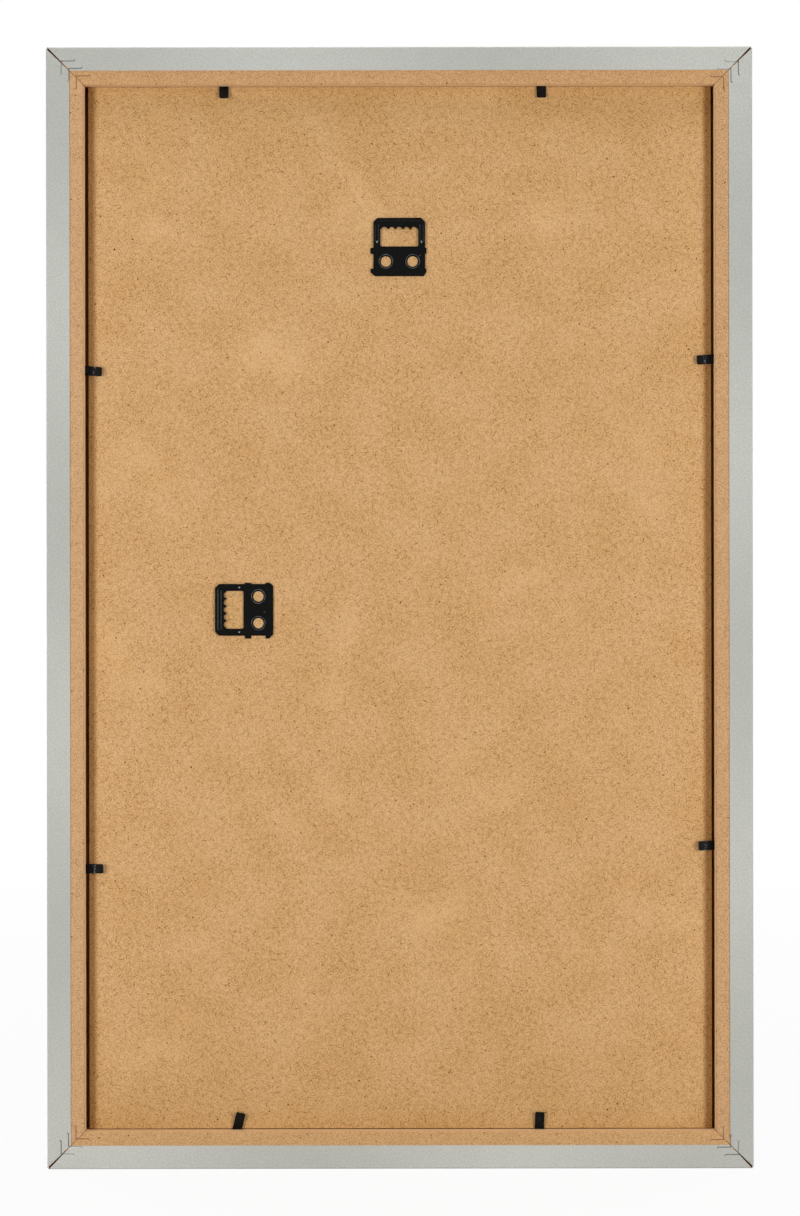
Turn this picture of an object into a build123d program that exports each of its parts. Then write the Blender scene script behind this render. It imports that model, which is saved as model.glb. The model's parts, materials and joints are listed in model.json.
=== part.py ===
from build123d import *
import math
import os
from typing import NamedTuple

# A back-loading picture frame with a mitred, foil-wrapped moulding, made to hang on a wall.
# Seen from behind, X points right and Z up. Y points from the wall towards the room.
# The origin is the nail's seat in the upper hanger, in the plane of the frame's back.
# Sizes are in millimetres and angles in degrees.

# Picture format and moulding
FORMAT_WIDTH = 300.0
FORMAT_HEIGHT = 500.0
REBATE_SIDE_PLAY = 1.25  # from the picture format to the left and right rebate walls
REBATE_END_PLAY = 0.8  # from the picture format to the upper and lower rebate walls
RAIL_WIDTH = 18.0  # from the outer edge to the rebate wall
RAW_STRIP = 6.7  # bare fibreboard beside the rebate, on the back
LIP_REACH = 6.0  # front lip past the rebate wall
LIP_THICKNESS = 5.5
FOIL_THICKNESS = 0.3
BACK_EDGE_RADIUS = 0.8
FRONT_EDGE_RADIUS = 2.0
SIGHT_EDGE_RADIUS = 1.2
REBATE_ARRIS = 0.5  # small chamfer along the rebate's back edge
MITRE_OPENING = 0.8  # width of a mitre joint at the outer corner, on the back
MITRE_HAIRLINE = 0.06  # its width past the foil, on the back
MITRE_CONTACT = 0.04  # its width at the sight corner, and below MITRE_DEPTH
MITRE_DEPTH = 5.0

# Pack held in the rebate, from the front to the back
GLAZING_THICKNESS = 2.0
INSERT_THICKNESS = 0.3
INSERT_TRIM = 1.0  # by which the sheet is cut short of the format on each side
BOARD_THICKNESS = 3.0
BOARD_LEFT_GAP = 1.75
BOARD_RIGHT_GAP = 1.4
BOARD_TOP_GAP = 0.15
BOARD_BOTTOM_GAP = 0.4
RECESS = 5.2  # from the frame's back to the board

# V-nails across the mitre joints
NAIL_COUNT = 3
NAIL_PITCH = 3.55
NAIL_MARGIN = 3.8  # from the innermost nail's apex to the rebate walls
NAIL_SIDESTEP = 0.4  # by which the nails sit beside the mitre, along each of its rails
NAIL_LEG = 6.0
NAIL_LIP = 0.9
NAIL_LIP_ANGLE = 55.0
NAIL_THICKNESS = 0.4
NAIL_HEIGHT = 10.0
NAIL_SINK = 0.3
NAIL_CLEARANCE = 0.02

# Flexible tabs, driven into the rebate walls
TAB_WIDTH = 4.5
TAB_THICKNESS = 0.5
TAB_LENGTH = 15.0
TAB_TIP_RADIUS = 0.8
TAB_BOARD_GAP = 0.1
TAB_WALL_GAP = 0.1  # from the wall to a tongue that stands square off the board
TAB_BEND_GAP = 0.03  # from the shank to the rounded root of the tongue
TAB_SLOT_CLEARANCE = 0.02

# Where each tab leaves its wall, right of or above the quarter point, and its length past the wall
TOP_LEFT_SHIFT = -8.7
TOP_LEFT_TONGUE = 5.9
TOP_RIGHT_SHIFT = -7.2
TOP_RIGHT_TONGUE = 5.6
BOTTOM_LEFT_SHIFT = -3.0
BOTTOM_LEFT_TONGUE = 8.5
BOTTOM_RIGHT_SHIFT = -8.9
BOTTOM_RIGHT_TONGUE = 8.4
LEFT_UPPER_SHIFT = -11.1
LEFT_UPPER_TONGUE = 8.35
LEFT_LOWER_SHIFT = 0.1
LEFT_LOWER_TONGUE = 8.65
RIGHT_UPPER_SHIFT = -5.95
RIGHT_UPPER_TONGUE = 8.45
RIGHT_LOWER_SHIFT = 11.05
RIGHT_LOWER_TONGUE = 8.05

# Saw-tooth hangers, with the nail's seat at the top of the middle notch
PORTRAIT_DROP = 85.6  # from the frame's top edge to the nail's seat
LANDSCAPE_DROP = 84.65  # from the frame's left edge to the nail's seat
LANDSCAPE_SHIFT = -0.9  # from half height to the nail's seat
HANGER_THICKNESS = 0.6
HANGER_EDGE = 0.15  # rounding that the stamping leaves on the outer side
HANGER_WIDTH = 24.9
SIDE_BAR = 3.35
TOP_BAR = 4.3
TOP_CHAMFER = 2.0
LOOP_HEIGHT = 9.4
LOOP_CORNER = 0.9
LOOP_RAISE = 0.3  # loop stands this much further off the board than the plate
JOGGLE_START = 0.3  # above the plate
JOGGLE_RUN = 1.4
NOTCH_PITCH = 3.55
NOTCH_HALF = 1.0  # half width of a notch's round end
NOTCH_RISE = 0.4  # height of that round end
TOOTH_DEPTH = 1.4
TOOTH_SIDE_ROOM = 0.3  # least room from the outer notch to the side bar
PLATE_HEIGHT = 14.35
FOOT_INSET = 0.8
FOOT_RISE = 2.0
STUB_LEFT = 1.4  # remains of the strip that the hangers are stamped from
STUB_RIGHT = 0.6
STUB_DROP = 0.7  # from the top of the plate to the upper stub
STUB_UPPER = 2.9
STUB_LOWER = 1.7
EYE_SPACING = 12.85
EYE_BORE = 4.95
EYE_FLARE = 0.95
COLLAR_WALL = 0.6
COLLAR_FLOOR = 0.8  # board left under the collars
COLLAR_CLEARANCE = 0.02
BEAD_WIDTH = 2.0
BEAD_HEIGHT = 0.3
BEAD_ROOT = 0.2  # depth to which the bead's shape runs into the sheet
BEAD_CORNER = 1.6
BEAD_FOOT = 1.0  # from the joggle to the middle of the bead's end

# Room by which cutting shapes pass the faces they cut
CUT_MARGIN = 1.0

# Derived sizes
FOIL_BAND = RAIL_WIDTH - RAW_STRIP
FACE_WIDTH = RAIL_WIDTH + LIP_REACH
PACK_DEPTH = GLAZING_THICKNESS + INSERT_THICKNESS + BOARD_THICKNESS
REBATE_DEPTH = RECESS + PACK_DEPTH
DEPTH = REBATE_DEPTH + LIP_THICKNESS
REBATE_WIDTH = FORMAT_WIDTH + 2 * REBATE_SIDE_PLAY
REBATE_HEIGHT = FORMAT_HEIGHT + 2 * REBATE_END_PLAY
OUTER_WIDTH = REBATE_WIDTH + 2 * RAIL_WIDTH
OUTER_HEIGHT = REBATE_HEIGHT + 2 * RAIL_WIDTH
CENTRE_Z = PORTRAIT_DROP - OUTER_HEIGHT / 2
TAB_Y = RECESS - TAB_BOARD_GAP - TAB_THICKNESS / 2
TAB_AXIS_GAP = TAB_WALL_GAP + TAB_THICKNESS / 2
COLLAR_DEPTH = BOARD_THICKNESS - COLLAR_FLOOR


class Rail(NamedTuple):
    turn: float  # about Y, from the bottom rail's place
    length: float
    reach: float  # from the frame's centre to the outer edge
    quarter: float  # from the centre to the quarter points of the rebate
    sense: int  # 1 where the rail's own X runs right or up on the frame


class Tab(NamedTuple):
    rail: str
    half: int  # -1 for the left or lower half of the rail, 1 for the other
    shift: float  # right or up from the quarter point
    tongue: float  # length past the rebate wall
    tilt: float  # lean of the tip to the right or up
    lift: float  # angle between the tongue and the board


RAILS = {
    "bottom": Rail(0, OUTER_WIDTH, OUTER_HEIGHT / 2, REBATE_WIDTH / 4, 1),
    "left": Rail(90, OUTER_HEIGHT, OUTER_WIDTH / 2, REBATE_HEIGHT / 4, -1),
    "top": Rail(180, OUTER_WIDTH, OUTER_HEIGHT / 2, REBATE_WIDTH / 4, -1),
    "right": Rail(270, OUTER_HEIGHT, OUTER_WIDTH / 2, REBATE_HEIGHT / 4, 1),
}

# Corners in the order of the rails that start there, with the quarter turn about Y of each
CORNERS = {
    "bottom_left": (-1, -1, 0),
    "top_left": (-1, 1, 90),
    "top_right": (1, 1, 180),
    "bottom_right": (1, -1, 270),
}

# The tabs were shot in by hand near the quarter points
TABS = {
    "top_left": Tab("top", -1, TOP_LEFT_SHIFT, TOP_LEFT_TONGUE, 1.5, 11.0),
    "top_right": Tab("top", 1, TOP_RIGHT_SHIFT, TOP_RIGHT_TONGUE, 0.0, 7.0),
    "bottom_left": Tab("bottom", -1, BOTTOM_LEFT_SHIFT, BOTTOM_LEFT_TONGUE, 14.0, 9.0),
    "bottom_right": Tab("bottom", 1, BOTTOM_RIGHT_SHIFT, BOTTOM_RIGHT_TONGUE, 2.0, 7.0),
    "left_upper": Tab("left", 1, LEFT_UPPER_SHIFT, LEFT_UPPER_TONGUE, -5.0, 7.0),
    "left_lower": Tab("left", -1, LEFT_LOWER_SHIFT, LEFT_LOWER_TONGUE, 0.5, 8.0),
    "right_upper": Tab("right", 1, RIGHT_UPPER_SHIFT, RIGHT_UPPER_TONGUE, -4.3, 7.0),
    "right_lower": Tab("right", -1, RIGHT_LOWER_SHIFT, RIGHT_LOWER_TONGUE, -2.0, 11.0),
}


def on_frame(turn):
    """Place of a shape drawn for the bottom rail, turned about the frame's centre."""
    return Location((0, 0, CENTRE_Z), (0, turn, 0))


def core_section():
    """Section of the fibreboard core, as depth and distance from the outer edge."""
    skin = FOIL_THICKNESS
    corners = [
        (skin, skin),
        (DEPTH - skin, skin),
        (DEPTH - skin, FACE_WIDTH - skin),
        (REBATE_DEPTH, FACE_WIDTH - skin),
        (REBATE_DEPTH, RAIL_WIDTH),
        (skin + REBATE_ARRIS, RAIL_WIDTH),
        (skin, RAIL_WIDTH - REBATE_ARRIS),
    ]
    rounds = [BACK_EDGE_RADIUS - skin, FRONT_EDGE_RADIUS - skin, SIGHT_EDGE_RADIUS - skin, 0, 0, 0, 0]
    return make_face(FilletPolyline(corners, radius=rounds, close=True))


def wrapped_section():
    """Section of the moulding with its foil, without the bare strip on the back."""
    corners = [
        (0, 0),
        (DEPTH, 0),
        (DEPTH, FACE_WIDTH),
        (REBATE_DEPTH, FACE_WIDTH),
        (REBATE_DEPTH, FOIL_BAND),
        (0, FOIL_BAND),
    ]
    rounds = [BACK_EDGE_RADIUS, FRONT_EDGE_RADIUS, SIGHT_EDGE_RADIUS, 0, 0, 0]
    return make_face(FilletPolyline(corners, radius=rounds, close=True))


def mitre_opening(inward, depth):
    """Width of a mitre joint at a distance in from the outer corner and a depth from the back."""
    if inward < FOIL_BAND:
        on_back = MITRE_HAIRLINE + (MITRE_OPENING - MITRE_HAIRLINE) * (1 - inward / FOIL_BAND)
    else:
        past_foil = (inward - FOIL_BAND) / (FACE_WIDTH - FOIL_BAND)
        on_back = MITRE_HAIRLINE + (MITRE_CONTACT - MITRE_HAIRLINE) * past_foil
    return MITRE_CONTACT + (on_back - MITRE_CONTACT) * (1 - depth / MITRE_DEPTH)


def mitre_plan(rail, depth):
    """Outline of a rail, from the back, at a depth at which its mitres are still open."""
    right = []
    for inward in (-CUT_MARGIN, FOIL_BAND, FACE_WIDTH + CUT_MARGIN):
        gap = mitre_opening(inward, depth) / math.sqrt(2)
        right.append((rail.length / 2 - inward - gap, inward))
    left = [(-x, inward) for x, inward in reversed(right)]
    return Plane.XZ.offset(-depth) * make_face(Polyline(right + left, close=True))


def mitred(section, rail):
    """A length of moulding along X, cut on the mitre, with joints that open outwards and to the back."""
    bar = extrude(Plane.YZ * section, amount=rail.length / 2 + CUT_MARGIN, both=True)
    closed = mitre_plan(rail, MITRE_DEPTH)
    ends = loft([mitre_plan(rail, -CUT_MARGIN), closed], ruled=True)
    ends += extrude(closed, amount=DEPTH + CUT_MARGIN - MITRE_DEPTH, dir=(0, 1, 0))
    return Pos(0, 0, -rail.reach) * (bar & ends)


def nail_row(corner, clearance=0.0):
    """The V-nails of one corner, or with a clearance their slots, which open at the back."""
    side, level, turn = corner
    start = -CUT_MARGIN if clearance else NAIL_SINK
    end = NAIL_SINK + NAIL_HEIGHT
    lip_along = NAIL_LIP * math.cos(math.radians(NAIL_LIP_ANGLE))
    lip_out = NAIL_LIP * math.sin(math.radians(NAIL_LIP_ANGLE))
    nails = []
    for number in range(NAIL_COUNT):
        apex = RAIL_WIDTH - NAIL_MARGIN - number * NAIL_PITCH
        tip = apex + NAIL_LEG
        lip_low = (tip + lip_along, apex - lip_out)
        lip_high = (apex - lip_out, tip + lip_along)
        bend = Polyline(lip_low, (tip, apex), (apex, apex), (apex, tip), lip_high)
        face = Plane.XZ * trace(bend, line_width=NAIL_THICKNESS + 2 * clearance)
        nails.append(Pos(0, end, 0) * extrude(face, amount=end - start))
    place = Location((side * OUTER_WIDTH / 2, 0, CENTRE_Z + level * OUTER_HEIGHT / 2), (0, turn, 0))
    return [place * Pos(-NAIL_SIDESTEP, 0, NAIL_SIDESTEP) * nail for nail in nails]


def tab_place(tab):
    """Middle of a tab where it leaves the wall, in the place of the bottom rail."""
    rail = RAILS[tab.rail]
    along = rail.sense * (tab.half * rail.quarter + tab.shift)
    return along, RAIL_WIDTH - rail.reach, rail.sense * tab.tilt


def tab_strip(tab, clearance=0.0):
    """A whole flat tab, tongue and shank, or with a clearance its slot."""
    along, wall, tilt = tab_place(tab)
    size = 2 * clearance
    strip = Box(TAB_WIDTH + size, TAB_THICKNESS + size, TAB_LENGTH + size)
    if not clearance:
        tip = strip.edges().filter_by(Axis.Y).group_by(Axis.Z)[-1]
        strip = fillet(tip, TAB_TIP_RADIUS)
    strip = Pos(0, 0, tab.tongue - TAB_LENGTH / 2) * strip
    return Location((along, TAB_Y, wall), (0, tilt, 0)) * strip


def tab_axis(tab):
    """Middle of the line about which the tongue bends, just clear of the rebate wall."""
    along, wall, tilt = tab_place(tab)
    return Vector(along + TAB_AXIS_GAP * math.tan(math.radians(tilt)), TAB_Y, wall + TAB_AXIS_GAP)


def tab_shank(tab):
    """The part of a tab that sits in the rail."""
    end = tab_axis(tab) - Vector(0, 0, TAB_THICKNESS / 2 + TAB_BEND_GAP)
    shank = split(tab_strip(tab), bisect_by=Plane(origin=end, z_dir=(0, 0, 1)), keep=Keep.BOTTOM)
    return on_frame(RAILS[tab.rail].turn) * shank


def tab_tongue(tab):
    """The part of a tab that bends, with a round root on the bend's axis."""
    axis = tab_axis(tab)
    across = Plane(origin=axis, z_dir=(0, 0, 1))
    tongue = split(tab_strip(tab), bisect_by=across, keep=Keep.TOP)
    root_width = TAB_WIDTH / math.cos(math.radians(tab.tilt))
    root = Location(axis, (0, 90, 0)) * Cylinder(TAB_THICKNESS / 2, root_width)
    tongue += split(root, bisect_by=across, keep=Keep.BOTTOM)
    lifted = tongue.rotate(Axis(axis, (1, 0, 0)), tab.lift)
    return on_frame(RAILS[tab.rail].turn) * lifted


def rail_core(name):
    """One rail's fibreboard core, with slots for its nails and tabs."""
    rail = RAILS[name]
    core = mitred(core_section(), rail)
    for tab in TABS.values():
        if tab.rail == name:
            core -= tab_strip(tab, TAB_SLOT_CLEARANCE)
    return slotted(on_frame(rail.turn) * core, name)


def rail_foil(name):
    """One rail's foil wrap: back band, outer side, front and sight edge."""
    rail = RAILS[name]
    foil = mitred(wrapped_section() - core_section(), rail)
    return slotted(on_frame(rail.turn) * foil, name)


def slotted(shape, rail_name):
    """A rail's core or foil, cut for the V-nails at its two ends."""
    for corner_name, corner in CORNERS.items():
        if rail_name in corner_name:
            for slot in nail_row(corner, NAIL_CLEARANCE):
                shape -= slot
    return shape


def sheet(thickness, back, width=FORMAT_WIDTH, height=FORMAT_HEIGHT, right=0.0, up=0.0):
    """A flat sheet of the pack, from its back face towards the front, moved right and up."""
    return Pos(right, back + thickness / 2, CENTRE_Z + up) * Box(width, thickness, height)


def hanger_outline():
    """Outer edge of a hanger, with the stubs of the strip it was stamped from."""
    half = HANGER_WIDTH / 2
    bottom = -LOOP_HEIGHT - PLATE_HEIGHT
    lower = bottom + FOOT_RISE
    upper = -LOOP_HEIGHT - STUB_DROP

    def side(stub):
        return [
            (half - FOOT_INSET, bottom),
            (half + stub, lower),
            (half + stub, lower + STUB_LOWER),
            (half, lower + STUB_LOWER),
            (half, upper - STUB_UPPER),
            (half + stub, upper - STUB_UPPER),
            (half + stub, upper),
            (half, upper),
            (half, TOP_BAR - TOP_CHAMFER),
            (half - TOP_CHAMFER, TOP_BAR),
        ]

    left = [(-x, z) for x, z in reversed(side(STUB_LEFT))]
    return make_face(Polyline(side(STUB_RIGHT) + left, close=True))


def hanger_opening():
    """The loop's opening: round notches between teeth along its upper edge."""
    half = HANGER_WIDTH / 2 - SIDE_BAR
    pairs = int((half - NOTCH_HALF - TOOTH_SIDE_ROOM) / NOTCH_PITCH)
    edges = []
    for number in range(-pairs, pairs + 1):
        middle = number * NOTCH_PITCH
        left, right = (middle - NOTCH_HALF, -NOTCH_RISE), (middle + NOTCH_HALF, -NOTCH_RISE)
        edges.append(ThreePointArc(left, (middle, 0), right))
        if number < pairs:
            tooth = (middle + NOTCH_PITCH / 2, -TOOTH_DEPTH)
            edges.append(Polyline(right, tooth, (middle + NOTCH_PITCH - NOTCH_HALF, -NOTCH_RISE)))
    outer = pairs * NOTCH_PITCH + NOTCH_HALF
    shoulder = -NOTCH_RISE - (half - outer)
    edges.append(
        FilletPolyline(
            (outer, -NOTCH_RISE), (half, shoulder), (half, -LOOP_HEIGHT), (-half, -LOOP_HEIGHT),
            (-half, shoulder), (-outer, -NOTCH_RISE), radius=[0, LOOP_CORNER, LOOP_CORNER, 0],
        )
    )
    return make_face([edge for line in edges for edge in line.edges()])


def hanger_sheet():
    """The bent sheet that a hanger is cut from: plate on the board, joggle and raised loop."""
    bottom = -LOOP_HEIGHT - PLATE_HEIGHT
    joggle = -LOOP_HEIGHT + JOGGLE_START
    bent = [(0, bottom), (0, joggle), (-LOOP_RAISE, joggle + JOGGLE_RUN), (-LOOP_RAISE, TOP_BAR)]
    outside = [(y - HANGER_THICKNESS, z) for y, z in reversed(bent)]
    section = make_face(Polyline(bent + outside, close=True))
    return extrude(Plane.YZ * section, amount=HANGER_WIDTH, both=True)


def hanger_bead():
    """The low stiffening bead along the middle of the loop's bars, with domed ends."""
    across = HANGER_WIDTH / 2 - SIDE_BAR / 2
    foot = -LOOP_HEIGHT + JOGGLE_START + JOGGLE_RUN + BEAD_FOOT
    level = LOOP_RAISE + HANGER_THICKNESS
    corners = [(-across, foot), (-across, TOP_BAR / 2), (across, TOP_BAR / 2), (across, foot)]
    path = Plane.XZ.offset(level) * FilletPolyline(corners, radius=BEAD_CORNER)
    half = BEAD_WIDTH / 2
    crown = ThreePointArc((-half, 0), (0, -BEAD_HEIGHT), (half, 0))
    root = Polyline((half, 0), (half, BEAD_ROOT), (-half, BEAD_ROOT), (-half, 0))
    section = make_face([*crown.edges(), *root.edges()])
    bead = sweep(Plane(origin=path @ 0, x_dir=(1, 0, 0), z_dir=(0, 0, 1)) * section, path=path)
    dome = revolve(split(section, bisect_by=Plane.YZ), axis=Axis.Y)
    for end in (path @ 0, path @ 1):
        bead += Pos(end) * dome
    return bead


def eye_rod(radius, start, end):
    """A pair of rods along Y at the hanger's two eyes."""
    level = -LOOP_HEIGHT - PLATE_HEIGHT / 2
    rod = Rot(-90, 0, 0) * Cylinder(radius, end - start)
    return [Pos(side * EYE_SPACING / 2, (start + end) / 2, level) * rod for side in (-1, 1)]


def hanger():
    """A stamped hanger with the nail's seat at X and Z zero and the board's face at Y zero."""
    plan = hanger_outline() - hanger_opening()
    depth = LOOP_RAISE + HANGER_THICKNESS
    body = rounded_rim(extrude(Plane.XZ * plan, amount=depth) & hanger_sheet())
    for collar in eye_rod(EYE_BORE / 2 + COLLAR_WALL, -HANGER_THICKNESS / 2, COLLAR_DEPTH):
        body += collar
    for bore in eye_rod(EYE_BORE / 2, -depth - CUT_MARGIN, COLLAR_DEPTH + CUT_MARGIN):
        body -= bore
    mouths = body.edges().filter_by(GeomType.CIRCLE).filter_by(is_eye_mouth)
    return fillet(mouths, EYE_FLARE) + hanger_bead()


def rounded_rim(blank):
    """A cut blank whose outer faces, away from the board, are rounded along their common rim."""
    outer = blank.faces().filter_by(lambda face: face.normal_at().Y < -abs(face.normal_at().Z))
    edges = [edge for face in outer for edge in face.edges()]
    rim = [edge for edge in edges if sum(edge.is_same(other) for other in edges) == 1]
    return fillet(rim, HANGER_EDGE)


def is_eye_mouth(edge):
    """True for the edge of a bore on the plate's outer face."""
    on_face = abs(edge.arc_center.Y + HANGER_THICKNESS) < COLLAR_CLEARANCE
    return on_face and abs(edge.radius - EYE_BORE / 2) < COLLAR_CLEARANCE


HANGER_PLACES = {
    "portrait": Location((0, RECESS, 0)),
    "landscape": Location(
        (LANDSCAPE_DROP - OUTER_WIDTH / 2, RECESS, CENTRE_Z + LANDSCAPE_SHIFT), (0, -90, 0)
    ),
}


def backing_board():
    """The backing board, with the rings that the hangers' collars cut into it."""
    width = REBATE_WIDTH - BOARD_LEFT_GAP - BOARD_RIGHT_GAP
    height = REBATE_HEIGHT - BOARD_TOP_GAP - BOARD_BOTTOM_GAP
    right = (BOARD_LEFT_GAP - BOARD_RIGHT_GAP) / 2
    up = (BOARD_BOTTOM_GAP - BOARD_TOP_GAP) / 2
    board = sheet(BOARD_THICKNESS, RECESS, width, height, right, up)
    bottom = COLLAR_DEPTH + COLLAR_CLEARANCE
    rings = zip(
        eye_rod(EYE_BORE / 2 + COLLAR_WALL + COLLAR_CLEARANCE, -CUT_MARGIN, bottom),
        eye_rod(EYE_BORE / 2 - COLLAR_CLEARANCE, -CUT_MARGIN, bottom),
    )
    for outer, inner in rings:
        for place in HANGER_PLACES.values():
            board -= place * (outer - inner)
    return board


def pieces():
    """Every piece of the frame by name."""
    named = {}
    for name in RAILS:
        named[f"rail_{name}"] = rail_core(name)
        named[f"foil_{name}"] = rail_foil(name)
    for name, corner in CORNERS.items():
        named[f"corner_nails_{name}"] = Compound(children=[Part(nail.wrapped) for nail in nail_row(corner)])
    named["glazing"] = sheet(GLAZING_THICKNESS, REBATE_DEPTH - GLAZING_THICKNESS)
    insert_width = FORMAT_WIDTH - 2 * INSERT_TRIM
    insert_height = FORMAT_HEIGHT - 2 * INSERT_TRIM
    insert_back = RECESS + BOARD_THICKNESS
    named["picture_insert"] = sheet(INSERT_THICKNESS, insert_back, insert_width, insert_height)
    named["backing_board"] = backing_board()
    for name, place in HANGER_PLACES.items():
        named[f"hanger_{name}"] = place * hanger()
    for name, tab in TABS.items():
        named[f"tab_{name}_shank"] = tab_shank(tab)
        named[f"tab_{name}_tongue"] = tab_tongue(tab)
    return named


os.makedirs("parts", exist_ok=True)
for piece_name, piece in pieces().items():
    export_step(piece, f"parts/{piece_name}.step")
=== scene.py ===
import json
import math

import bmesh
import bpy
from mathutils import Matrix, Vector


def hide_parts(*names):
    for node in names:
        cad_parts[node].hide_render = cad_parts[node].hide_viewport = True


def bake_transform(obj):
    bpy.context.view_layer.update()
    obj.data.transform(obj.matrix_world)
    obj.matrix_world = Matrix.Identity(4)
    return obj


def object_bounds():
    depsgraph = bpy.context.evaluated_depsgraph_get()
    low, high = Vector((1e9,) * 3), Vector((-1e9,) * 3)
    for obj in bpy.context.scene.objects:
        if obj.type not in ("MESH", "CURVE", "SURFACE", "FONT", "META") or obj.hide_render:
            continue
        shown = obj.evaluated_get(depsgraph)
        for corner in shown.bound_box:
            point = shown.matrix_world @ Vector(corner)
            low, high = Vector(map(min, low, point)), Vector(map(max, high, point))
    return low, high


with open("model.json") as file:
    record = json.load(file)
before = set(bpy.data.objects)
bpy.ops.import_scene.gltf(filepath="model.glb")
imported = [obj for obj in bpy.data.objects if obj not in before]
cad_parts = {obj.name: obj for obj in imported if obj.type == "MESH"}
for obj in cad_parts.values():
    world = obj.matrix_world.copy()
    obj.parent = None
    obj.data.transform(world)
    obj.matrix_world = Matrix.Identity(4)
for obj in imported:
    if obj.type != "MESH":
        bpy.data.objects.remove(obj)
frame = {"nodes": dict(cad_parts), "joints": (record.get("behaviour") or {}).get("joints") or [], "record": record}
cad_low, cad_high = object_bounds()

# The four rails are lengths of fibreboard moulding, milled with a rebate, mitred and glued.
# Their core is bare on the inner strip of the back and on the rebate walls: fine pressed fibres
# with dark specks of bark, pale where it is milled, and scorched at the saw cut. Deep in the
# rebate, below the board, the core is painted dark as shade.
RAIL_TONES = {
    "bottom": (201, 158, 108),
    "left": (201, 159, 115),
    "top": (198, 153, 105),
    "right": (198, 156, 111),
}
RAIL_DARK = (124, 82, 40)
RAIL_PALE = (228, 187, 144)
WALL_TONE = (232, 194, 150)
WALL_COVER = 0.7
# colour of the painted shade deep in the rebate
DEEP_REBATE_SHADE = (128, 74, 12)
SAW_CUT = (60, 38, 18)
SAW_WIDTH = 0.0003
SAW_COVER = 0.65
WALL_START = 0.0006  # depth from the frame's back
DEEP_SHADE_START = 0.0052
FOIL_BAND = 0.0113  # from the outer edge to the bare strip
JOINT_OPEN = 0.00057  # from a mitre to the rail's end, at the outer corner
JOINT_SHUT = 0.00004  # the same on the bare strip
FIBRE_TURN = math.radians(30)  # of the patterns, on the back
FIBRE_SLANT = 700.0  # carries the patterns on across the rebate walls
MM_PER_METRE = 1000.0
GRAIN_MIX = 0.6  # how strong the finer lumps of a grain are
GRAIN_SPREAD = 0.3  # how far a grain goes from zero
MIDDLE = 0.5  # the tone between dark and pale
RELIEF_STRENGTH = 0.6
frame_middle = (cad_low + cad_high) / 2
half_size = (cad_high - cad_low) / 2


def colour(red, green, blue):
    """The linear colour of a tone given as it looks, from 0 to 255."""
    shares = [tone / 255 for tone in (red, green, blue)]
    linear = [c / 12.92 if c <= 0.04045 else ((c + 0.055) / 1.055) ** 2.4 for c in shares]
    return (*linear, 1.0)


def add(tree, kind, inputs, **settings):
    """Adds a shader node. Each input is a plain value, or the output that feeds it."""
    made = tree.nodes.new("ShaderNode" + kind)
    for name, value in settings.items():
        setattr(made, name, value)
    for name, value in inputs.items():
        if isinstance(value, bpy.types.NodeSocket):
            tree.links.new(value, made.inputs[name])
        else:
            made.inputs[name].default_value = value
    return made


def combine(tree, operation, *values):
    """One step of arithmetic on outputs and numbers."""
    return add(tree, "Math", dict(enumerate(values)), operation=operation).outputs[0]


def fade(tree, value, start, end, low=0.0, high=1.0):
    """A soft step from low to high as a value goes from start to end."""
    inputs = {"Value": value, "From Min": start, "From Max": end, "To Min": low, "To Max": high}
    return add(tree, "MapRange", inputs, interpolation_type="SMOOTHSTEP").outputs["Result"]


def new_finish(name):
    """A material with its node tree and its surface shader."""
    material = bpy.data.materials.new(name)
    material.use_nodes = True
    tree = material.node_tree
    return material, tree, tree.nodes["Principled BSDF"]


def dress(node_name, material):
    """Gives a piece of the frame its finish."""
    for slot in frame["nodes"][node_name].material_slots:
        slot.material = material


def coordinates(tree):
    """The place on a piece, in metres along the frame's three axes."""
    place = add(tree, "TexCoord", {}).outputs["Object"]
    return add(tree, "SeparateXYZ", {0: place}).outputs


def back_plane(tree):
    """Millimetres on the back of the frame, on two axes at an angle to its rails."""
    place = add(tree, "TexCoord", {}).outputs["Object"]
    run = MM_PER_METRE * math.cos(FIBRE_TURN)
    rise = MM_PER_METRE * math.sin(FIBRE_TURN)
    across = add(tree, "VectorMath", {0: place, 1: (run, FIBRE_SLANT, rise)}, operation="DOT_PRODUCT")
    up = add(tree, "VectorMath", {0: place, 1: (-rise, FIBRE_SLANT, run)}, operation="DOT_PRODUCT")
    parts = {"X": across.outputs["Value"], "Y": up.outputs["Value"]}
    return add(tree, "CombineXYZ", parts).outputs[0]


def grain(tree, plane, size, detail=2.0):
    """Cloudy grain about zero, with lumps of a given size in millimetres."""
    inputs = {"Vector": plane, "Scale": 1 / size, "Detail": detail, "Roughness": GRAIN_MIX}
    cloud = add(tree, "TexNoise", inputs, noise_dimensions="2D").outputs["Fac"]
    return combine(tree, "SUBTRACT", cloud, 0.5)


def scattered(tree, plane, spacing):
    """Random points on the plane: the way from the nearest in millimetres, and three chances."""
    shrunk = add(tree, "VectorMath", {0: plane, "Scale": 1 / spacing}, operation="SCALE").outputs[0]
    cells = add(tree, "TexVoronoi", {"Vector": shrunk, "Scale": 1.0}, voronoi_dimensions="2D")
    way = add(tree, "VectorMath", {0: shrunk, 1: cells.outputs["Position"]}, operation="SUBTRACT")
    way = add(tree, "VectorMath", {0: way.outputs[0], "Scale": spacing}, operation="SCALE")
    chances = add(tree, "SeparateColor", {"Color": cells.outputs["Color"]}).outputs
    return way.outputs[0], chances


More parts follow.
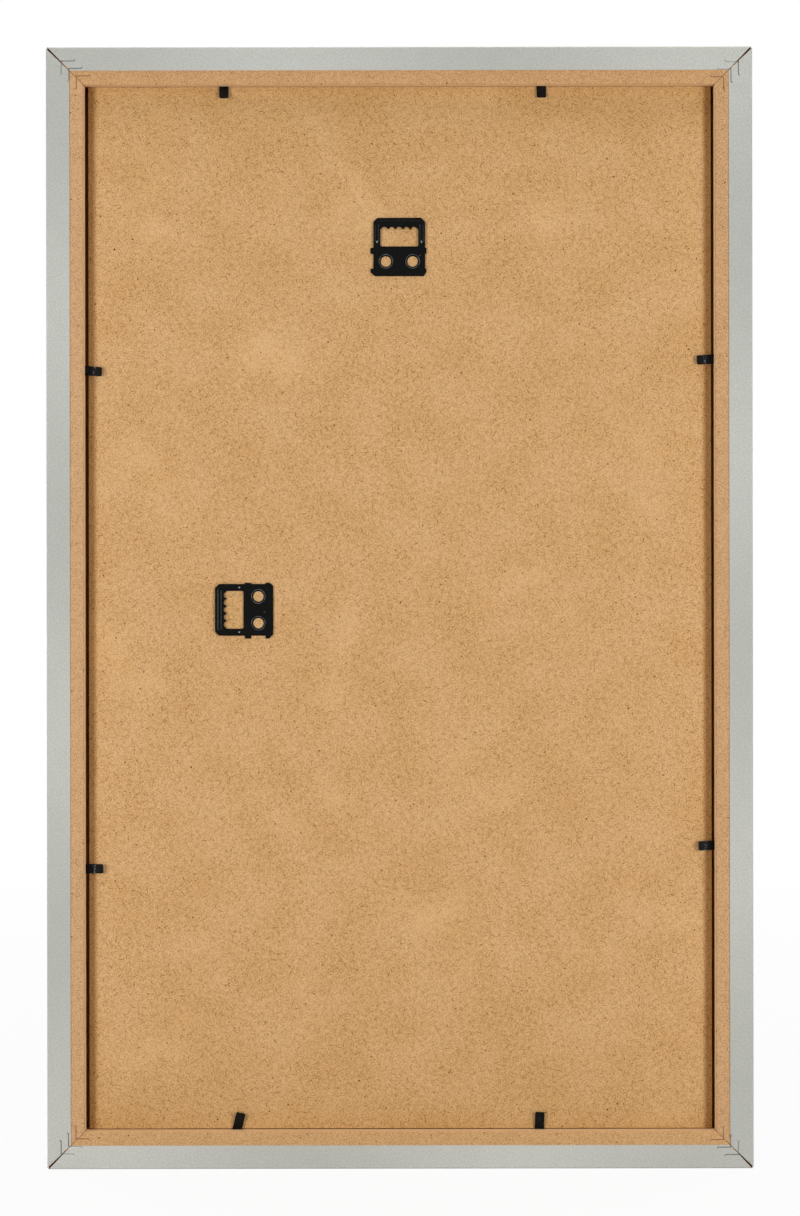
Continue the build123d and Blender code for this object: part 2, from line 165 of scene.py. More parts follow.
def fibres(tree, plane, spacing, length, width, rarity):
    """Single fibres lying every way, one to a patch, strong in a few places and faint in most."""
    way, chances = scattered(tree, plane, spacing)
    angle = combine(tree, "MULTIPLY", chances[0], math.tau)
    turned = add(tree, "VectorRotate", {"Vector": way, "Angle": angle}, rotation_type="Z_AXIS")
    parts = add(tree, "SeparateXYZ", {0: turned.outputs[0]}).outputs
    along = fade(tree, combine(tree, "ABSOLUTE", parts["X"]), length / 4, length / 2, 1, 0)
    across = fade(tree, combine(tree, "ABSOLUTE", parts["Y"]), 0.0, width / 2, 1, 0)
    strength = combine(tree, "POWER", chances[1], rarity)
    return combine(tree, "MULTIPLY", combine(tree, "MULTIPLY", along, across), strength)


def specks(tree, plane, spacing, size, rarity):
    """Small round specks, one to a patch, strong in a few places and faint in most."""
    way, chances = scattered(tree, plane, spacing)
    reach = add(tree, "VectorMath", {0: way}, operation="LENGTH").outputs["Value"]
    dot = fade(tree, reach, size / 4, size / 2, 1, 0)
    return combine(tree, "MULTIPLY", dot, combine(tree, "POWER", chances[1], rarity))


def tone_of(tree, *layers):
    """Adds up layers, each with its strength, about the middle tone."""
    tone = MIDDLE
    for layer, strength in layers:
        tone = combine(tree, "MULTIPLY_ADD", layer, strength, tone)
    return tone


def shaded(tree, tone, dark, middle, pale):
    """The colour of a tone between three colours."""
    ramp = add(tree, "ValToRGB", {"Fac": tone})
    stops = ramp.color_ramp.elements
    stops.new(MIDDLE)
    for stop, seen in zip(stops, (dark, middle, pale)):
        stop.color = colour(*seen)
    return ramp.outputs["Color"]


def blended(tree, share, under, tone, manner="MIX"):
    """Lays a tone over a colour by a share, or tints the colour with it."""
    inputs = {0: share, 6: under, 7: colour(*tone)}  # the node's sockets for colours
    return add(tree, "Mix", inputs, data_type="RGBA", blend_type=manner).outputs[2]


def gloss(tree, shader, pattern, dips, tops, middle=0.0):
    """Gives the dips and the tops of a pattern their roughness."""
    roughness = fade(tree, pattern, middle - GRAIN_SPREAD, middle + GRAIN_SPREAD, dips, tops)
    tree.links.new(roughness, shader.inputs["Roughness"])


def relief(tree, shader, height, depth):
    """Raises the surface by a pattern, to a depth in metres."""
    bump = add(tree, "Bump", {"Height": height, "Distance": depth, "Strength": RELIEF_STRENGTH})
    tree.links.new(bump.outputs["Normal"], shader.inputs["Normal"])


def edge_distances(tree):
    """Distances in from the frame's left or right edge, and from its top or bottom edge."""
    place = add(tree, "TexCoord", {}).outputs["Object"]
    centred = add(tree, "VectorMath", {0: place, 1: frame_middle}, operation="SUBTRACT").outputs[0]
    folded = add(tree, "VectorMath", {0: centred}, operation="ABSOLUTE").outputs[0]
    parts = add(tree, "SeparateXYZ", {0: folded}).outputs
    from_side = combine(tree, "SUBTRACT", half_size.x, parts["X"])
    from_end = combine(tree, "SUBTRACT", half_size.z, parts["Z"])
    return from_side, from_end


def off_joint(tree):
    """Distances along a rail from its end at the nearest mitre joint, and in from the outer edge."""
    from_side, from_end = edge_distances(tree)
    off_mitre = combine(tree, "ABSOLUTE", combine(tree, "SUBTRACT", from_side, from_end))
    inward = combine(tree, "MINIMUM", from_side, from_end)
    limits = {"From Max": FOIL_BAND, "To Min": JOINT_OPEN, "To Max": JOINT_SHUT}
    rail_end = add(tree, "MapRange", {"Value": inward, **limits}).outputs["Result"]
    return combine(tree, "SUBTRACT", off_mitre, rail_end), inward


for rail_name, rail_middle in RAIL_TONES.items():
    raw_fibreboard, tree, shader = new_finish("raw_fibreboard_" + rail_name)
    plane = back_plane(tree)
    fine_grain = grain(tree, plane, size=0.65, detail=1.0)
    rail_tone = tone_of(
        tree,
        (fine_grain, 0.8),
        (grain(tree, plane, size=2.4, detail=3.0), 0.3),
        (grain(tree, plane, size=14.0), 0.12),
        (fibres(tree, plane, spacing=1.7, length=1.6, width=0.3, rarity=3.0), -0.6),
        (fibres(tree, plane, spacing=1.9, length=1.4, width=0.3, rarity=3.0), 0.4),
        (specks(tree, plane, spacing=6.0, size=0.9, rarity=12.0), -1.3),
    )
    rail_colour = shaded(tree, rail_tone, RAIL_DARK, rail_middle, RAIL_PALE)
    depth = coordinates(tree)["Y"]
    milled = fade(tree, depth, WALL_START, 2 * WALL_START, 0.0, WALL_COVER)
    rail_colour = blended(tree, milled, rail_colour, WALL_TONE)
    # Painted shade: the bare core is coloured dark deep in the rebate, below the board's level, where little light
    # reaches.
    deep_shade = fade(tree, depth, DEEP_SHADE_START, DEEP_SHADE_START + WALL_START)
    rail_colour = blended(tree, deep_shade, rail_colour, DEEP_REBATE_SHADE)
    from_joint = off_joint(tree)[0]
    sawn = fade(tree, from_joint, 0.0, SAW_WIDTH, SAW_COVER, 0.0)
    rail_colour = blended(tree, sawn, rail_colour, SAW_CUT)
    tree.links.new(rail_colour, shader.inputs["Base Color"])
    shader.inputs["Specular IOR Level"].default_value = 0.15
    gloss(tree, shader, fine_grain, dips=0.95, tops=0.8)
    relief(tree, shader, rail_tone, depth=0.0001)
    dress("rail_" + rail_name, raw_fibreboard)

# A satin silver-grey foil is wrapped round each rail from the band on the back, over the front,
# to the sight edge. It is printed paper, hot glued, whose tone rises and falls slowly along the
# rail, and the brown core shows in chips where the mitre saw has cut it.
FOIL_DARK = (148, 150, 143)
FOIL_TONE = (184, 185, 178)
FOIL_PALE = (220, 220, 213)
CHIP_TONE = (194, 144, 92)
CHIP_WIDTH = 0.0006
CHIP_EDGE = 0.08  # of the grain that breaks up the chips
FOIL_SAW_WIDTH = 0.0002
SAW_REACH = 0.006  # from the outer edge, with the full dark of the saw cut
SAW_FAINT_FROM = 0.0096  # from the outer edge to where it stays faint
SAW_FAINT = 0.4
PRINT_REPEAT = 0.2
PRINT_STRENGTH = 0.08
PRINTS = {  # axis along the rail, where the print is palest, and painted light to even out the lamps
    "bottom": ("X", 0.0552, 0.06),
    "left": ("Z", -0.2417, -0.02),
    "top": ("X", -0.0549, 0.0),
    "right": ("Z", -0.3078, -0.02),
}

for rail_name, (axis_name, crest, painted_light_offset) in PRINTS.items():
    silver_foil, tree, shader = new_finish("silver_foil_" + rail_name)
    plane = back_plane(tree)
    paper_grain = grain(tree, plane, size=0.8, detail=1.0)
    from_crest = combine(tree, "SUBTRACT", coordinates(tree)[axis_name], crest)
    turns = combine(tree, "MULTIPLY", from_crest, math.tau / PRINT_REPEAT)
    foil_tone = tone_of(
        tree,
        (combine(tree, "COSINE", turns), PRINT_STRENGTH),
        (grain(tree, plane, size=9.0), 0.08),
        (paper_grain, 0.45),
    )
    # Painted light: the foil on each rail is made a little lighter or darker to even out how the lamps light it.
    foil_tone = combine(tree, "ADD", foil_tone, painted_light_offset)
    foil_colour = shaded(tree, foil_tone, FOIL_DARK, FOIL_TONE, FOIL_PALE)
    from_joint, inward = off_joint(tree)
    chipped = fade(tree, from_joint, 0.0, CHIP_WIDTH, 1, 0)
    broken = fade(tree, grain(tree, plane, size=2.0), -CHIP_EDGE, CHIP_EDGE)
    chipped = combine(tree, "MULTIPLY", chipped, broken)
    foil_colour = blended(tree, chipped, foil_colour, CHIP_TONE)
    sawn = fade(tree, from_joint, 0.0, FOIL_SAW_WIDTH, 1, 0)
    sawn = combine(tree, "MULTIPLY", sawn, fade(tree, inward, SAW_REACH, SAW_FAINT_FROM, 1, SAW_FAINT))
    foil_colour = blended(tree, sawn, foil_colour, SAW_CUT)
    tree.links.new(foil_colour, shader.inputs["Base Color"])
    shader.inputs["Specular IOR Level"].default_value = 0.2
    gloss(tree, shader, paper_grain, dips=0.4, tops=0.55)
    relief(tree, shader, paper_grain, depth=0.00002)
    dress("foil_" + rail_name, silver_foil)

# Three V-nails of bent steel strip are pressed into each mitre joint from the back, just below
# the surface. The steel is dull and dark, with the fibreboard's brown dust on it in the bare
# strip, and each nail has gone in deeper in one of its two rails, where grey dust covers it.
NAIL_DARK = (58, 58, 56)
NAIL_TONE = (104, 104, 101)
NAIL_PALE = (150, 150, 146)
NAIL_SHINE = 0.8  # how metallic the bare steel is
NAIL_DUST = (128, 88, 54)
DUST_EDGE = 0.0004  # on each side of the foil's edge
FOIL_DUST = (188, 188, 180)
FOIL_DUST_EDGE = 0.0006  # beside the mitre
FOIL_DUST_COVER = 0.65
NAILS = {  # 1 where they are deeper in the upright rail, and -1 in the other
    "bottom_left": -1,
    "top_left": 1,
    "top_right": -1,
    "bottom_right": 1,
}

for corner_name, deeper in NAILS.items():
    nail_steel, tree, shader = new_finish("nail_steel_" + corner_name)
    plane = back_plane(tree)
    scuffs = grain(tree, plane, size=1.2)
    nail_colour = shaded(tree, tone_of(tree, (scuffs, 1.6)), NAIL_DARK, NAIL_TONE, NAIL_PALE)
    from_side, from_end = edge_distances(tree)
    off_mitre = combine(tree, "MULTIPLY", combine(tree, "SUBTRACT", from_side, from_end), deeper)
    covered = fade(tree, off_mitre, -FOIL_DUST_EDGE, 0.0, FOIL_DUST_COVER, 0.0)
    nail_colour = blended(tree, covered, nail_colour, FOIL_DUST)
    inward = combine(tree, "MINIMUM", from_side, from_end)
    dusty = fade(tree, inward, FOIL_BAND - DUST_EDGE, FOIL_BAND + DUST_EDGE)
    nail_colour = blended(tree, dusty, nail_colour, NAIL_DUST)
    tree.links.new(nail_colour, shader.inputs["Base Color"])
    hidden = combine(tree, "MAXIMUM", dusty, covered)
    shine = combine(tree, "MULTIPLY_ADD", hidden, -NAIL_SHINE, NAIL_SHINE)
    tree.links.new(shine, shader.inputs["Metallic"])
    gloss(tree, shader, scuffs, dips=0.4, tops=0.65)
    relief(tree, shader, scuffs, depth=0.00003)
    dress("corner_nails_" + corner_name, nail_steel)

# The pane is clear float glass, cut to the picture's format and laid on the front lip. It has a
# very faint green cast, and a few greasy smudges that only show in its shine.
GLASS_TINT = (254, 255, 254)
SMUDGE_START = 0.05
SMUDGE_FULL = 0.3
SMUDGE_ROUGHNESS = 0.12

clear_glass, tree, shader = new_finish("clear_glass")
smudges = grain(tree, back_plane(tree), size=35.0, detail=3.0)
smudges = fade(tree, smudges, SMUDGE_START, SMUDGE_FULL, 0.0, SMUDGE_ROUGHNESS)
tree.links.new(smudges, shader.inputs["Roughness"])
shader.inputs["Base Color"].default_value = colour(*GLASS_TINT)
shader.inputs["Transmission Weight"].default_value = 1.0
shader.inputs["IOR"].default_value = 1.5
light_passes = add(tree, "BsdfTransparent", {"Color": colour(*GLASS_TINT)}).outputs[0]
ray = add(tree, "LightPath", {}).outputs
pane = add(tree, "MixShader", {0: ray["Is Shadow Ray"], 1: shader.outputs[0], 2: light_passes})
tree.links.new(pane.outputs[0], tree.nodes["Material Output"].inputs["Surface"])
dress("glazing", clear_glass)

# A blank sheet of off-white paper lies between the pane and the board, where a picture goes.
# It is uncoated stock with a soft, cloudy look-through and fine fibres.
PAPER_DARK = (216, 209, 199)
PAPER_TONE = (235, 231, 225)
PAPER_PALE = (245, 241, 236)

blank_paper, tree, shader = new_finish("blank_paper")
plane = back_plane(tree)
paper_tone = tone_of(
    tree,
    (grain(tree, plane, size=6.0), 0.2),
    (grain(tree, plane, size=0.5), 0.5),
    (fibres(tree, plane, spacing=2.2, length=2.0, width=0.12, rarity=3.0), -0.3),
)
paper_colour = shaded(tree, paper_tone, PAPER_DARK, PAPER_TONE, PAPER_PALE)
tree.links.new(paper_colour, shader.inputs["Base Color"])
shader.inputs["Specular IOR Level"].default_value = 0.2
gloss(tree, shader, paper_tone, dips=0.95, tops=0.8, middle=MIDDLE)
relief(tree, shader, paper_tone, depth=0.00003)
dress("picture_insert", blank_paper)

# The backing board is thin hard fibreboard, sawn to size and left bare. Pressed fibres lie on it
# every way, olive brown on tan, with dots of bark and paler clouds. Painted shade darkens it
# along the rebate walls: the side rails' shadows, a narrow shadow under the top rail, and a
# wider darkening towards the top and the bottom.
BOARD_DARK = (124, 79, 8)
BOARD_TONE = (205, 162, 111)
BOARD_PALE = (234, 194, 146)
OLIVE = (252, 249, 241)  # as it would tint white
OLIVE_SPREAD = 0.25  # of the clouds, from olive to plain
BARK = (46, 24, 6)
# painted shadow of the side rails, a darker and browner band beside the side walls
SIDE_RAIL_SHADOW = (212, 197, 174)
SIDE_SHADOW_FULL = 0.00341  # from the wall
SIDE_SHADOW_REACH = 0.0062
# painted shade, darker and warmer towards the top and bottom walls and fading away from them; the same fall also
# thickens the dark fibres there
END_WALL_SHADE = (243, 240, 226)
END_FALLOFF_REACH = 0.018
# a narrow painted shadow on the board just under the top rail
TOP_RAIL_SHADOW = (242, 243, 247)
TOP_SHADOW_REACH = 0.004
RAIL_WIDTH = 0.018
PRESSED_START = 0.06
PRESSED_FULL = 0.28
TANGLE_SPREAD = 0.2  # of the clouds, from thick tangles of dark fibres to thin ones
TANGLE_THICK = 1.1
TANGLE_THIN = 0.8
TANGLE_AT_ENDS = 0.3  # more dark fibres along the top and the bottom
TANGLE_PRESSED = -0.5  # and fewer where the board is pressed smooth

hardboard, tree, shader = new_finish("hardboard")
plane = back_plane(tree)
from_side, from_end = edge_distances(tree)
from_wall = combine(tree, "SUBTRACT", from_end, RAIL_WIDTH)
end_wall_falloff = combine(tree, "EXPONENT", combine(tree, "MULTIPLY", from_wall, -1 / END_FALLOFF_REACH))
from_wall = combine(tree, "SUBTRACT", from_side, RAIL_WIDTH)
side_shadow = fade(tree, from_wall, SIDE_SHADOW_FULL, SIDE_SHADOW_REACH, 1.0, 0.0)
top_wall = cad_high.z - RAIL_WIDTH
top_shadow = fade(tree, coordinates(tree)["Z"], top_wall - TOP_SHADOW_REACH, top_wall)
clouds = grain(tree, plane, size=26.0, detail=1.0)
pressed = fade(tree, grain(tree, plane, size=60.0, detail=3.0), PRESSED_START, PRESSED_FULL)
tangle = fade(tree, clouds, -TANGLE_SPREAD, TANGLE_SPREAD, TANGLE_THICK, TANGLE_THIN)
tangle = combine(tree, "MULTIPLY_ADD", end_wall_falloff, TANGLE_AT_ENDS, tangle)
tangle = combine(tree, "MULTIPLY_ADD", pressed, TANGLE_PRESSED, tangle)
short_fibres = fibres(tree, plane, spacing=1.5, length=1.7, width=0.3, rarity=3.0)
long_fibres = fibres(tree, plane, spacing=3.3, length=3.0, width=0.28, rarity=3.0)
board_grain = grain(tree, plane, size=0.75, detail=1.0)
board_tone = tone_of(
    tree,
    (board_grain, 0.7),
    (grain(tree, plane, size=2.4, detail=3.0), 0.36),
    (clouds, 0.07),
    (pressed, 0.1),
    (combine(tree, "MULTIPLY", short_fibres, tangle), -0.7),
    (combine(tree, "MULTIPLY", long_fibres, tangle), -1.0),
    (fibres(tree, plane, spacing=1.8, length=1.6, width=0.32, rarity=3.0), 0.15),
    (specks(tree, plane, spacing=5.0, size=0.9, rarity=10.0), -0.8),
)
board_colour = shaded(tree, board_tone, BOARD_DARK, BOARD_TONE, BOARD_PALE)
olive_share = fade(tree, clouds, -OLIVE_SPREAD, OLIVE_SPREAD, 1, 0)
board_colour = blended(tree, olive_share, board_colour, OLIVE, "MULTIPLY")
bark_dots = specks(tree, plane, spacing=9.0, size=1.1, rarity=14.0)
board_colour = blended(tree, bark_dots, board_colour, BARK)
# Painted shade on the board: darker towards the top and bottom walls, a narrow shadow under the top rail, and the
# side rails' shadows beside the side walls.
board_colour = blended(tree, end_wall_falloff, board_colour, END_WALL_SHADE, "MULTIPLY")
board_colour = blended(tree, top_shadow, board_colour, TOP_RAIL_SHADOW, "MULTIPLY")
board_colour = blended(tree, side_shadow, board_colour, SIDE_RAIL_SHADOW, "MULTIPLY")
tree.links.new(board_colour, shader.inputs["Base Color"])
shader.inputs["Specular IOR Level"].default_value = 0.2
gloss(tree, shader, board_grain, dips=0.9, tops=0.7)
relief(tree, shader, board_tone, depth=0.00004)
dress("backing_board", hardboard)

# Two saw-tooth hangers are stamped from sheet steel, with two collars each pressed into the
# board, and black lacquered. The lacquer has a fine orange peel, and it is rubbed through to
# the steel in one small scuff on each. Painted highlights of bright steel lie on the rims of
# the eyes and on the ends of the bead.
LACQUER_DARK = (4, 4, 3)
LACQUER_TONE = (7, 7, 6)
LACQUER_PALE = (16, 15, 13)
# bright steel, for the painted highlights and the one real scuff
GLINT_AND_BARE_STEEL = (172, 178, 182)
EYE_ACROSS = 0.006425  # from the nail's seat
EYE_DROP = 0.016575
EYE_RIM = 0.0033
EYE_RIM_WIDTH = 0.0003
EYE_GLINT_FAINT = 0.1
EYE_GLINT_BRIGHT = 0.4
BEAD_ACROSS = 0.0107
BEAD_DROP = 0.0073
BEAD_END_SIZE = 0.0008
BEAD_END_STRETCH = 1.6
SCUFF_SIZE = 0.0009
SCUFF_BARE = 0.1
HANGERS = {  # the mount on its nail, its turn, where it is scuffed, and its painted bead-end highlights
    "portrait": ("wall_hook", 0.0, (0.0100, -0.0138), 0.7),
    "landscape": ("wall_hook_landscape", -90.0, (-0.0011, -0.0195), 0.35),
}
seats = {mount["name"]: mount["pos_m"] for mount in frame["record"]["mounts"]}


def ring(tree, across, up, middle, radius, width, stretch=1.0):
    """A soft ring about a point of the plane, or a dot, drawn out upwards by a stretch."""
    offset = add(tree, "CombineXYZ", {"X": across, "Y": up}).outputs[0]
    offset = add(tree, "VectorMath", {0: offset, 1: (*middle, 0)}, operation="SUBTRACT").outputs[0]
    offset = add(tree, "VectorMath", {0: offset, 1: (1, 1 / stretch, 0)}, operation="MULTIPLY").outputs[0]
    reach = add(tree, "VectorMath", {0: offset}, operation="LENGTH").outputs["Value"]
    off_ring = combine(tree, "ABSOLUTE", combine(tree, "SUBTRACT", reach, radius))
    return fade(tree, off_ring, width / 4, width / 2, 1, 0)


for hanger_name, (mount_name, turn, scuff, bead_glint_strength) in HANGERS.items():
    lacquer, tree, shader = new_finish("black_lacquer_" + hanger_name)
    place = add(tree, "TexCoord", {}).outputs["Object"]
    settings = {"Vector": place, "Location": seats[mount_name], "Rotation": (0, math.radians(turn), 0)}
    own_place = add(tree, "Mapping", settings, vector_type="TEXTURE").outputs[0]
    parts = add(tree, "SeparateXYZ", {0: own_place}).outputs
    to_side = combine(tree, "ABSOLUTE", parts["X"])
    plane = back_plane(tree)
    wear = grain(tree, plane, size=2.5, detail=4.0)
    lacquer_colour = shaded(tree, tone_of(tree, (wear, 0.6)), LACQUER_DARK, LACQUER_TONE, LACQUER_PALE)
    # Painted highlights: thin rings of bright steel on the rims of the eyes, stronger in places along the grain.
    eye_glint = ring(tree, to_side, parts["Z"], (EYE_ACROSS, -EYE_DROP), EYE_RIM, EYE_RIM_WIDTH)
    eye_glint_strength = fade(tree, wear, -GRAIN_SPREAD, GRAIN_SPREAD, EYE_GLINT_FAINT, EYE_GLINT_BRIGHT)
    eye_glint = combine(tree, "MULTIPLY", eye_glint, eye_glint_strength)
    bead_place = (BEAD_ACROSS, -BEAD_DROP)
    # Painted highlights: soft bright dots of steel on the ends of the bead, drawn out along it.
    bead_end_glint = ring(tree, to_side, parts["Z"], bead_place, 0.0, BEAD_END_SIZE, BEAD_END_STRETCH)
    bead_end_glint = combine(tree, "MULTIPLY", bead_end_glint, bead_glint_strength)
    scuff_mark = ring(tree, parts["X"], parts["Z"], scuff, 0.0, SCUFF_SIZE)
    scuff_mark = combine(tree, "MULTIPLY", scuff_mark, SCUFF_BARE)
    # The painted highlights and the one real scuff give the share of bright, metallic steel.
    painted_glints = combine(tree, "MAXIMUM", combine(tree, "MAXIMUM", eye_glint, bead_end_glint), scuff_mark)
    lacquer_colour = blended(tree, painted_glints, lacquer_colour, GLINT_AND_BARE_STEEL)
    tree.links.new(lacquer_colour, shader.inputs["Base Color"])
    tree.links.new(painted_glints, shader.inputs["Metallic"])
    shader.inputs["Specular IOR Level"].default_value = 0.08
    gloss(tree, shader, wear, dips=0.18, tops=0.3)
    relief(tree, shader, grain(tree, plane, size=0.45), depth=0.00002)
    dress("hanger_" + hanger_name, lacquer)

# Eight flexible tabs of black spring steel strip are shot into the rebate walls and bent down to
# hold the board. Each is one strip with rounded tip corners: its shank stays in the rail, and its
# tongue bends at the wall, so one mesh blends from the frame to the moving tongue.
TAB_WIDTH = 0.0045
TAB_THICKNESS = 0.0005
TAB_LENGTH = 0.015
TAB_TIP_RADIUS = 0.0008
TAB_TIP_SEGMENTS = 6
TAB_EDGE_ROUND = 0.00008
TAB_EDGE_SEGMENTS = 2
TAB_EDGE_ANGLE = 1.0  # radians between the faces at a sharp edge
TAB_AXIS_GAP = 0.00035  # from the rebate wall to the bend's axis
BEND_START = -0.0003  # from the bend's axis, into the opening
BEND_END = 0.0006
BEND_CUTS = 12
CUT_SNAP = 1e-7
STEEL_DARK = (8, 7, 6)
STEEL_TONE = (15, 13, 12)
STEEL_PALE = (43, 40, 37)
# bluish grey of a painted highlight on the side tabs
TAB_GLINT_TONE = (138, 142, 150)
TAB_GLINT_PLACE = 0.0045  # from the side walls to a painted highlight across the side tabs
TAB_GLINT_REACH = 0.0011
TAB_GLINT_EDGE = 0.18  # of the grain that breaks up the painted highlight
TAB_GLINT_COVER = 0.6
TAB_SET = {  # lean of the tip to the right or up in degrees, and length past the wall
    "top_left": (1.5, 0.0059),
    "top_right": (0.0, 0.0056),
    "bottom_left": (14.0, 0.0085),
    "bottom_right": (2.0, 0.0084),
    "left_upper": (-5.0, 0.00835),
    "left_lower": (0.5, 0.00865),
    "right_upper": (-4.3, 0.00845),
    "right_lower": (-2.0, 0.00805),
}
RIGHT = Vector((1, 0, 0))
UP = Vector((0, 0, 1))
INWARD = {"top": -UP, "bottom": UP, "left": RIGHT, "right": -RIGHT}

black_steel, tree, shader = new_finish("black_spring_steel")
plane = back_plane(tree)
blotches = grain(tree, plane, size=1.8, detail=4.0)
steel_colour = shaded(tree, tone_of(tree, (blotches, 1.0)), STEEL_DARK, STEEL_TONE, STEEL_PALE)
# Painted highlight: a bluish-grey sheen in patches across the side tabs, near where they come out of the rails'
# shadow.
from_wall = combine(tree, "SUBTRACT", edge_distances(tree)[0], RAIL_WIDTH)
off_tab_glint = combine(tree, "ABSOLUTE", combine(tree, "SUBTRACT", from_wall, TAB_GLINT_PLACE))
glint_patches = fade(tree, grain(tree, plane, size=1.0), 0.0, TAB_GLINT_EDGE, 0.0, TAB_GLINT_COVER)
painted_glints = combine(tree, "MULTIPLY", fade(tree, off_tab_glint, 0.0, TAB_GLINT_REACH, 1, 0), glint_patches)
steel_colour = blended(tree, painted_glints, steel_colour, TAB_GLINT_TONE)
tree.links.new(steel_colour, shader.inputs["Base Color"])
shader.inputs["Specular IOR Level"].default_value = 0.06
gloss(tree, shader, blotches, dips=0.5, tops=0.3)
relief(tree, shader, grain(tree, plane, size=0.35), depth=0.00002)


def bent_tab(name, joint, tilt, tongue):
    """One strip: cut to length, corners rounded, leaned to its tilt and bent at the wall."""
    strip = bmesh.new()
    bmesh.ops.create_cube(strip, size=1.0)
    bmesh.ops.scale(strip, vec=(TAB_WIDTH, TAB_THICKNESS, TAB_LENGTH), verts=strip.verts)
    bmesh.ops.translate(strip, vec=(0, 0, tongue - TAB_LENGTH / 2), verts=strip.verts)
    at_tip = [edge for edge in strip.edges if all(vert.co.z > 0 for vert in edge.verts)]
    corners = [edge for edge in at_tip if edge.verts[0].co.x * edge.verts[1].co.x > 0]
    rounding = {"profile": 0.5, "affect": "EDGES", "material": -1}
    bmesh.ops.bevel(strip, geom=corners, offset=TAB_TIP_RADIUS, segments=TAB_TIP_SEGMENTS, **rounding)
    rim = [edge for edge in strip.edges if edge.calc_face_angle() > TAB_EDGE_ANGLE]
    bmesh.ops.bevel(strip, geom=rim, offset=TAB_EDGE_ROUND, segments=TAB_EDGE_SEGMENTS, **rounding)

    inward = INWARD[name.split("_")[0]]
    level = UP if inward.z == 0 else RIGHT
    lean = math.radians(tilt)
    forward = inward * math.cos(lean) + level * math.sin(lean)
    side = level * math.cos(lean) - inward * math.sin(lean)
    hinge = Vector(joint["pos_m"])
    root = hinge - (inward + level * math.tan(lean)) * TAB_AXIS_GAP
    turn = Matrix((side, forward.cross(side), forward)).transposed().to_4x4()
    bmesh.ops.transform(strip, matrix=Matrix.Translation(root) @ turn, verts=strip.verts)

    for number in range(BEND_CUTS + 1):
        cut = hinge + inward * (BEND_START + (BEND_END - BEND_START) * number / BEND_CUTS)
        whole = strip.verts[:] + strip.edges[:] + strip.faces[:]
        bmesh.ops.bisect_plane(strip, geom=whole, dist=CUT_SNAP, plane_co=cut, plane_no=inward)
    lift = -math.radians(joint["range_deg"][0])
    for vert in strip.verts:
        share = ((vert.co - hinge).dot(inward) - BEND_START) / (BEND_END - BEND_START)
        share = min(max(share, 0.0), 1.0)
        bend = Matrix.Rotation(lift * share * share * (3 - 2 * share), 3, joint["axis"])
        vert.co = hinge + bend @ (vert.co - hinge)
    for face in strip.faces:
        face.smooth = True

    mesh = bpy.data.meshes.new("tab_" + name)
    strip.to_mesh(mesh)
    strip.free()
    mesh.materials.append(black_steel)
    tab = bpy.data.objects.new("tab_" + name, mesh)
    bpy.context.scene.collection.objects.link(tab)
    tab.modifiers.new("even_shine", "WEIGHTED_NORMAL")
    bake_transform(tab)
    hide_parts(f"tab_{name}_shank", f"tab_{name}_tongue")


bends = {joint["name"]: joint for joint in frame["joints"]}
for tab_name, (tilt, tongue) in TAB_SET.items():
    bent_tab(tab_name, bends[f"tab_{tab_name}_bend"], tilt, tongue)

# The studio is a plain pale floor under the frame's lower edge, four soft lamps, a pair on each
# side of the frame, and one above, at the level at which colours look as they are written. What
# is behind the object is white, and the floor keeps a soft shadow.
LAMP_DISTANCE = 1.6
LAMP_ANGLE = math.radians(50.9)  # from straight behind, or straight in front
LAMP_RISE = 0.033  # for each metre away
LAMP_SIZE = (0.45, 0.64)
LAMP_POWER = 14.1
TOP_LAMP_SIZE = (1.2, 1.2)
TOP_LAMP_POWER = 24.0
AMBIENT = 0.04
WHITE = (1.0, 1.0, 1.0, 1.0)
FLOOR_TONE = (200, 200, 200)
FLOOR_RADIUS = 6.0
FLOOR_GLOW = 0.94  # share of plain white near the frame
GLOW_START = 0.3  # from under the frame, the glow rises to plain white
GLOW_FULL = 1.5


def seen_directly(tree):
    """One where the camera, a reflection or a pane looks straight at a surface."""
    ray = add(tree, "LightPath", {}).outputs
    seen = combine(tree, "MAXIMUM", ray["Is Camera Ray"], ray["Is Glossy Ray"])
    return combine(tree, "MAXIMUM", seen, ray["Is Transmission Ray"])


floor_mesh = bpy.data.meshes.new("floor")
sheet = bmesh.new()
bmesh.ops.create_circle(sheet, cap_ends=True, segments=96, radius=FLOOR_RADIUS)
bmesh.ops.translate(sheet, vec=(0, frame_middle.y, cad_low.z), verts=sheet.verts)
sheet.to_mesh(floor_mesh)
sheet.free()
floor = bpy.data.objects.new("floor", floor_mesh)
bpy.context.scene.collection.objects.link(floor)
pale_floor, tree, shader = new_finish("pale_floor")
shader.inputs["Base Color"].default_value = colour(*FLOOR_TONE)
shader.inputs["Roughness"].default_value = 0.9
shader.inputs["Specular IOR Level"].default_value = 0.0
place = add(tree, "TexCoord", {}).outputs["Object"]
off_middle = add(tree, "VectorMath", {0: place, 1: (1, 1, 0)}, operation="MULTIPLY").outputs[0]
off_middle = add(tree, "VectorMath", {0: off_middle}, operation="LENGTH").outputs["Value"]
glow_share = fade(tree, off_middle, GLOW_START, GLOW_FULL, FLOOR_GLOW, 1.0)
glow_share = combine(tree, "MULTIPLY", glow_share, seen_directly(tree))
glow = add(tree, "Emission", {"Color": WHITE, "Strength": 1.0}).outputs[0]
mixed = add(tree, "MixShader", {0: glow_share, 1: shader.outputs[0], 2: glow}).outputs[0]
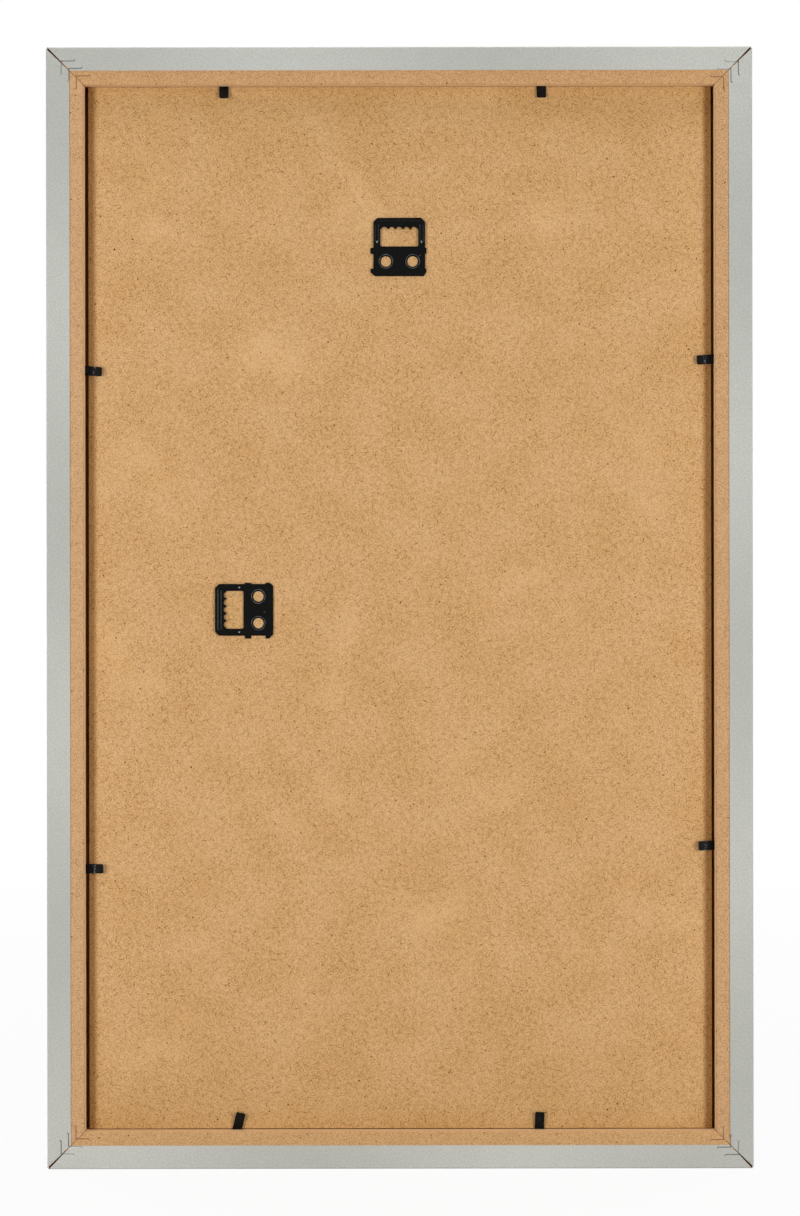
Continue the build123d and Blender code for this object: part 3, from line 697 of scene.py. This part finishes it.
tree.links.new(mixed, tree.nodes["Material Output"].inputs["Surface"])
floor_mesh.materials.append(pale_floor)


def soft_lamp(aim, size, power):
    """A rectangular lamp that looks at the frame's middle from the way it is aimed."""
    lamp = bpy.data.lights.new("soft_lamp", "AREA")
    lamp.shape = "RECTANGLE"
    lamp.size, lamp.size_y = size
    lamp.energy = power
    stand = bpy.data.objects.new("soft_lamp", lamp)
    stand.location = frame_middle + aim * LAMP_DISTANCE
    stand.rotation_euler = aim.to_track_quat("Z", "Y").to_euler()
    is_mirrored = aim.y <= 0  # the pane in front mirrors no lamp
    stand.visible_glossy = is_mirrored
    stand.visible_transmission = is_mirrored
    bpy.context.scene.collection.objects.link(stand)


for across in (-1, 1):
    for ahead in (-1, 1):
        aim = Vector((across * math.sin(LAMP_ANGLE), ahead * math.cos(LAMP_ANGLE), LAMP_RISE))
        soft_lamp(aim, LAMP_SIZE, LAMP_POWER)
soft_lamp(UP, TOP_LAMP_SIZE, TOP_LAMP_POWER)

studio = bpy.data.worlds.new("studio")
studio.use_nodes = True
bpy.context.scene.world = studio
tree = studio.node_tree
backdrop = seen_directly(tree)
strength = combine(tree, "MULTIPLY_ADD", backdrop, 1.0 - AMBIENT, AMBIENT)
light = tree.nodes["Background"]
light.inputs["Color"].default_value = WHITE
tree.links.new(strength, light.inputs["Strength"])

# The camera looks straight at the back from a little over a metre, level with the frame's middle,
# and it is rolled by less than a tenth of a degree, as the photograph was.
CAMERA_OFFSET = Vector((0.0001, -1.138, -0.00012))  # from the frame's middle
CAMERA_ROLL = math.radians(0.082)
CAMERA_LENS = 69.85
SENSOR_WIDTH = 36.0

lens = bpy.data.cameras.new("camera")
lens.lens = CAMERA_LENS
lens.sensor_width = SENSOR_WIDTH
camera = bpy.data.objects.new("camera", lens)
camera.location = frame_middle + CAMERA_OFFSET
camera.rotation_euler = (math.pi / 2, CAMERA_ROLL, 0)
bpy.context.scene.collection.objects.link(camera)
bpy.context.scene.camera = camera
bpy.context.scene.view_settings.view_transform = "Standard"
